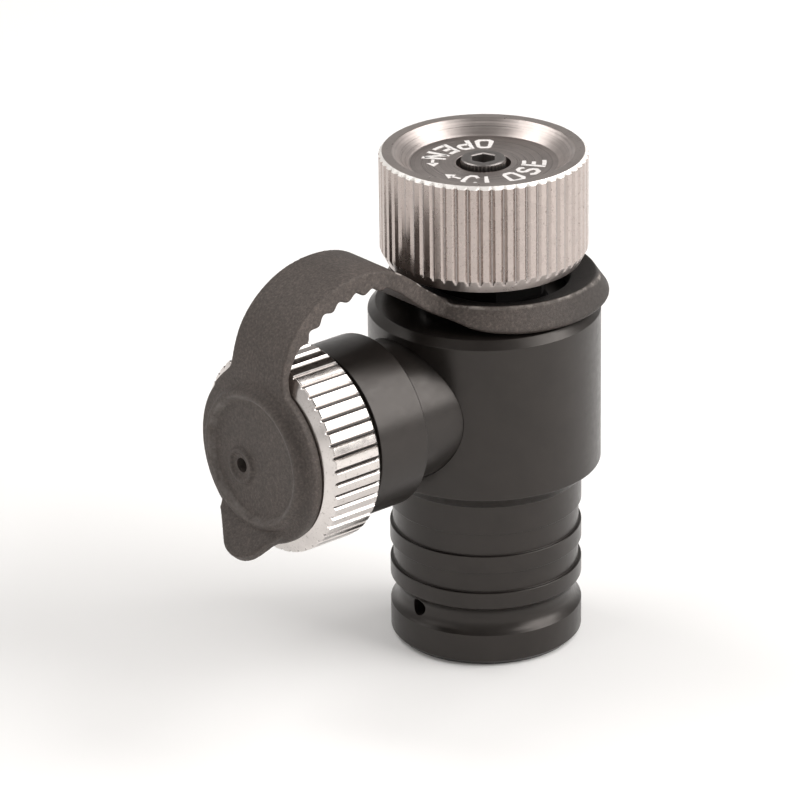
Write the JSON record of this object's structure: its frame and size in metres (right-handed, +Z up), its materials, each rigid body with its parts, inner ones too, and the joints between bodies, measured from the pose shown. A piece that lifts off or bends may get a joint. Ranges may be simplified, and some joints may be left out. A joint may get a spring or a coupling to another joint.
{
  "type": "angle shut-off valve",
  "caption": "Compact right-angle shut-off valve: cylindrical body with push-in spigot, fluted handwheel, side arm with a swivelling union nut, and a tethered rubber dust cap.",
  "frame": {"origin": "centre of the spigot's end face, on the spindle axis", "axes": "+Z up the spindle axis from the spigot to the handwheel, -X along the outlet arm, Y across it"},
  "size_m": [0.0692, 0.036, 0.08],
  "materials": {
    "black_anodised": "satin",
    "nickel_wheel": "satin",
    "nickel_nut": "polished",
    "brass": "satin",
    "stainless": "satin",
    "black_steel": "satin",
    "cap_rubber": "matte",
    "seal_rubber": "matte",
    "slip_plastic": "matte"
  },
  "bodies": {
    "valve": {"valve_body": "black_anodised", "side_arm": "black_anodised", "arm_seal_ring": "seal_rubber", "bonnet": "black_anodised", "bonnet_seal_ring": "seal_rubber", "nut_snap_ring": "stainless", "outlet_face_seal": "seal_rubber", "cap_strap": "cap_rubber", "strap_collar": "cap_rubber", "inlet_filter": "stainless", "filter_snap_ring": "stainless"},
    "handwheel": {"handwheel": "nickel_wheel", "handwheel_screw": "black_steel", "spindle": "brass", "spindle_seal_rings": "seal_rubber", "thrust_washer": "slip_plastic"},
    "seat_carrier": {"seat_carrier": "brass", "seat_disc": "seal_rubber", "seat_screw": "stainless"},
    "union_nut": {"union_nut": "nickel_nut"},
    "dust_cap": {"dust_cap": "cap_rubber"}
  },
  "joints": [
    {"name": "handwheel_turn", "type": "hinge", "parent": "valve", "child": "handwheel", "pos_m": [0, 0, 0.0635], "axis": [0, 0, 1], "range_deg": [0, 540]},
    {"name": "seat_lift", "type": "slide", "parent": "handwheel", "child": "seat_carrier", "axis": [0, 0, 1], "range_m": [0, 0.00226]},
    {"name": "nut_spin", "type": "hinge", "parent": "valve", "child": "union_nut", "pos_m": [-0.0387, 0, 0.04235], "axis": [-1, 0, 0], "continuous": true},
    {"name": "cap_pull", "type": "slide", "parent": "valve", "child": "dust_cap", "axis": [-1, 0, 0], "range_m": [0, 0.014], "deforming": ["cap_strap"]}
  ],
  "couplings": [
    {"joint": "seat_lift", "follows": "handwheel_turn", "m_per_rad": 0.00023873}
  ]
}
